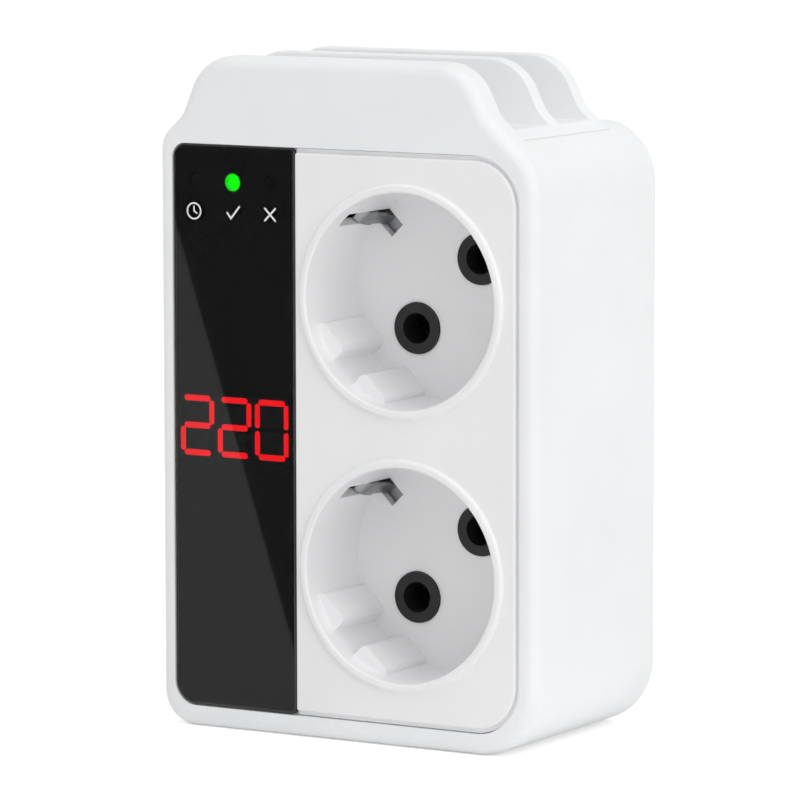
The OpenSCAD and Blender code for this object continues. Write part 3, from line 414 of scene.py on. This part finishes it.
def make_marks():
    """A clock, a tick and a cross, printed on the window under the lamps."""
    bm = bmesh.new()
    strip(bm, ring(CLOCK_X, MARK_Z, CLOCK_RADIUS), CLOCK_LINE, *PRINT_DEPTHS, closed=True)
    for x, width, line in MARK_LINES:
        strip(bm, [(x + dx, MARK_Z + dz) for dx, dz in line], width, *PRINT_DEPTHS)
    new_piece("window_marks", MATERIALS["white_ink"], bm)


def make_sleeves():
    """Black sleeves round the unlit lamps, in the holes of the wall behind the film."""
    bm = bmesh.new()
    for node in ("delay_led", "fault_led"):
        low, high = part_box(node)
        front = low.y / MM
        middle = ((low.x + high.x) / 2 / MM, (low.z + high.z) / 2 / MM)
        strip(bm, ring(*middle, SLEEVE_RADIUS), SLEEVE_WALL,
              front + SLEEVE_START, front + SLEEVE_END, closed=True)
    new_piece("lamp_sleeves", MATERIALS["black_film"], bm)


dress_solids()
make_marks()
make_sleeves()


# ---------------------------------------------------------------- floor, cards and light
FLOOR_HALF = 14.0
FLOOR_Z = -0.00002
FLOOR_TONES = ((0.93, 0.93, 0.93, 1.0), (0.94, 0.94, 0.94, 1.0))
FLOOR_LIFT = 0.44    # emission that brings the floor to the backdrop's white

# Cards, in millimetres. The slanting edge between the two tones and the ends of the cards are
# given by where they show on the window.
CARD_Y = -90.0
DARK_TONE, GREY_TONE = 0.02, 0.55
EDGE_TOP, EDGE_FOOT = (-44.0, 116.27), (-5.0, -0.35)
DARK_RIGHT, DARK_TOP = -2.0, 122.0
GREY_LEFT = -50.0
LOW_LEFT, LOW_RIGHT = -120.0, -20.0
LOW_END_Y, LOW_Z = -45.0, 0.03

WORLD_LIGHT, BACKDROP = 0.61, 1.0
AIM = (0.0, 0.0, 0.06)
LAMPS = (    # name, place and side in metres, power in watts
    ("top", (0.2, -0.5, 1.75), 1.4, 7.4),
    ("key", (1.5, -0.6, 0.5), 0.9, 5.9),
    ("side", (1.6, 0.8, 0.7), 1.0, 0.4),
)


def rectangle(x0, x1, y0, y1, z):
    """Corners of a level rectangle."""
    return [(x0, y0, z), (x1, y0, z), (x1, y1, z), (x0, y1, z)]


def one_face(corners):
    """A bmesh of one face, from its corners in metres."""
    bm = bmesh.new()
    bm.faces.new([bm.verts.new(corner) for corner in corners])
    return bm


def seen_rays(nodes, links):
    """One for rays that show the background: from the camera, by gloss or through glass."""
    path = nodes.new("ShaderNodeLightPath")
    total = path.outputs["Is Camera Ray"]
    for name in ("Is Glossy Ray", "Is Transmission Ray"):
        most = nodes.new("ShaderNodeMath")
        most.operation = "MAXIMUM"
        links.new(total, most.inputs[0])
        links.new(path.outputs[name], most.inputs[1])
        total = most.outputs[0]
    return total


def floor_material():
    """Pale floor that keeps the object's shadow and is lifted to white for seen rays."""
    t = Tree("floor")
    base = t.nodes.new("ShaderNodeBsdfDiffuse")
    t.link(t.vary(t.noise(scale=6.0, detail=2.0), *FLOOR_TONES), base.inputs["Color"])
    lift = t.emission()
    amount = t.nodes.new("ShaderNodeMath")
    amount.operation = "MULTIPLY"
    amount.inputs[1].default_value = FLOOR_LIFT
    t.link(seen_rays(t.nodes, t.links), amount.inputs[0])
    t.link(amount.outputs[0], lift.inputs["Strength"])
    both = t.nodes.new("ShaderNodeAddShader")
    t.link(base.outputs["BSDF"], both.inputs[0])
    t.link(lift.outputs["Emission"], both.inputs[1])
    t.link(both.outputs["Shader"], t.output.inputs["Surface"])
    return t.material


def make_floor():
    corners = rectangle(-FLOOR_HALF, FLOOR_HALF, -FLOOR_HALF, FLOOR_HALF, FLOOR_Z)
    floor = mesh_object("floor", floor_material(), one_face(corners))


def make_card(name, strength, corners):
    """Glowing card that shows in glossy surfaces alone; corners in millimetres."""
    t = Tree(name)
    glowing = t.emission()
    glowing.inputs["Strength"].default_value = strength
    t.link(glowing.outputs["Emission"], t.output.inputs["Surface"])
    card = mesh_object(name, t.material, one_face([mm(*corner) for corner in corners]))
    card.visible_camera = False
    card.visible_diffuse = False
    card.visible_transmission = False
    card.visible_shadow = False


def mirrored(*outline):
    """Corners on the cards' plane whose reflections are the outline [x, z] on the window."""
    eye = camera_place / MM
    along = (WINDOW_FRONT - CARD_Y) / (WINDOW_FRONT - eye.y)
    return [(x + (x - eye.x) * along, CARD_Y, z + (z - eye.z) * along) for x, z in outline]


def make_cards():
    """Two tones in the window's reflection, with the lighter one carried on along the floor."""
    left, top = EDGE_TOP
    foot = EDGE_FOOT[1]
    dark = mirrored(EDGE_TOP, EDGE_FOOT, (DARK_RIGHT, foot), (DARK_RIGHT, DARK_TOP),
                    (left, DARK_TOP))
    grey = mirrored(EDGE_TOP, EDGE_FOOT, (GREY_LEFT, foot), (GREY_LEFT, top))
    make_card("dark_card", DARK_TONE, dark)
    make_card("grey_card", GREY_TONE, grey)
    make_card("low_card", GREY_TONE, rectangle(LOW_LEFT, LOW_RIGHT, CARD_Y, LOW_END_Y, LOW_Z))


def make_world():
    """Soft light from all round, with a white backdrop for seen rays."""
    world = bpy.data.worlds.new("studio")
    bpy.context.scene.world = world
    world.use_nodes = True
    nodes, links = world.node_tree.nodes, world.node_tree.links
    nodes.clear()
    out = nodes.new("ShaderNodeOutputWorld")
    mix = nodes.new("ShaderNodeMixShader")
    links.new(seen_rays(nodes, links), mix.inputs["Fac"])
    for slot, strength in ((1, WORLD_LIGHT), (2, BACKDROP)):
        tone = nodes.new("ShaderNodeBackground")
        tone.inputs["Color"].default_value = WHITE
        tone.inputs["Strength"].default_value = strength
        links.new(tone.outputs["Background"], mix.inputs[slot])
    links.new(mix.outputs["Shader"], out.inputs["Surface"])


def make_lamp(name, place, side, power):
    """Square lamp aimed at the middle of the object."""
    data = bpy.data.lights.new(name, "AREA")
    data.shape = "RECTANGLE"
    data.size = data.size_y = side
    data.energy = power
    lamp = bpy.data.objects.new(name, data)
    lamp.location = place
    lamp.rotation_euler = (Vector(AIM) - Vector(place)).to_track_quat("-Z", "Y").to_euler()
    bpy.context.scene.collection.objects.link(lamp)


make_floor()
make_cards()
make_world()
for settings in LAMPS:
    make_lamp(*settings)
bpy.context.scene.view_settings.view_transform = "Standard"
